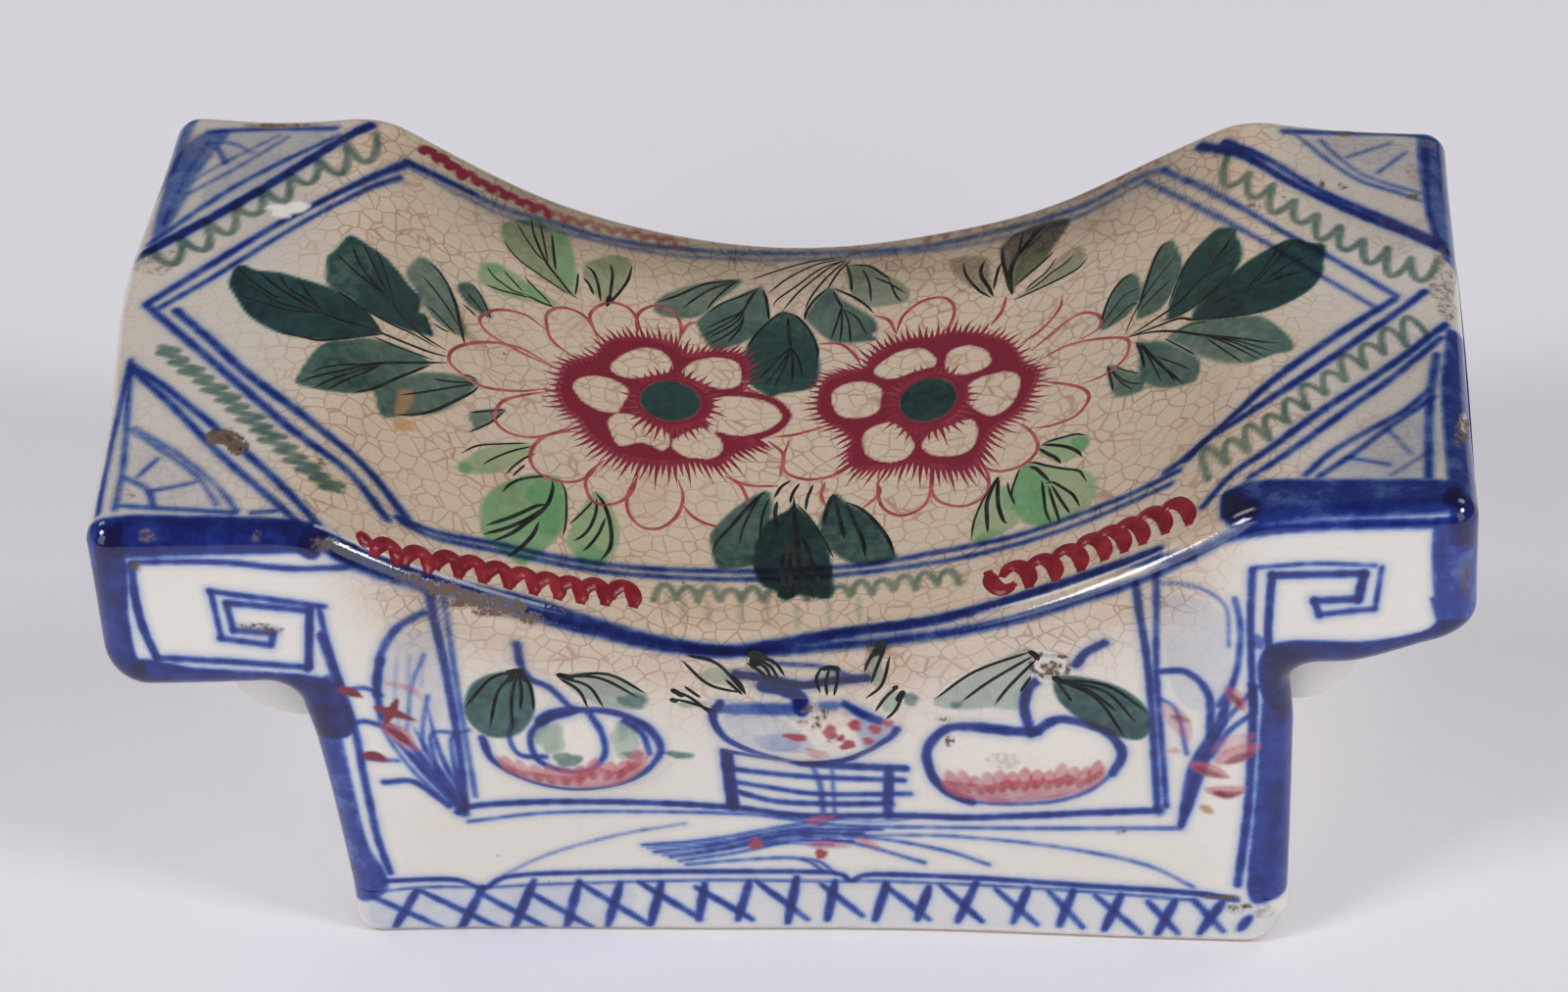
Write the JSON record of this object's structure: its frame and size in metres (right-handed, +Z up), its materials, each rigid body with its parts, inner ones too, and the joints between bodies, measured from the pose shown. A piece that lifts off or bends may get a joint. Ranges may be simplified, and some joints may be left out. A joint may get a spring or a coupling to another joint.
{
  "type": "ceramic pillow",
  "caption": "Hollow saddle-topped ceramic pillow with flat lands, overhanging ends and a narrower base, painted under and over a crackled glaze; it holds the neck of a lying person.",
  "frame": {"origin": "middle of the underside of the floor slab, on the surface that the pillow stands on", "axes": "+Z up, +X along the length of the pillow, painted front towards -Y"},
  "size_m": [0.27, 0.135, 0.11],
  "materials": {
    "glazed_top": "glossy crackled glaze over blue painting, with thick enamel on top",
    "glazed_body": "glossy ivory glaze over blue painting",
    "glazed_floor": "glossy ivory glaze on the edge, bare below",
    "glazed_relief": "glossy ivory glaze with pink and green enamel",
    "bare_clay": "matt unglazed clay"
  },
  "bodies": {
    "root": {"saddle_top": "glazed_top", "front_panel": "glazed_body", "back_panel": "glazed_body", "left_end_wall": "glazed_body", "right_end_wall": "glazed_body", "left_soffit": "glazed_body", "right_soffit": "glazed_body", "left_corner_roll": "glazed_body", "right_corner_roll": "glazed_body", "left_base_wall": "glazed_body", "right_base_wall": "glazed_body", "base_floor": "glazed_floor", "left_fruit_relief": "glazed_relief", "bowl_relief": "glazed_relief", "right_fruit_relief": "glazed_relief", "front_floor_coil": "bare_clay", "back_floor_coil": "bare_clay", "left_floor_coil": "bare_clay", "right_floor_coil": "bare_clay", "front_saddle_coil": "bare_clay", "back_saddle_coil": "bare_clay"}
  },
  "joints": []
}
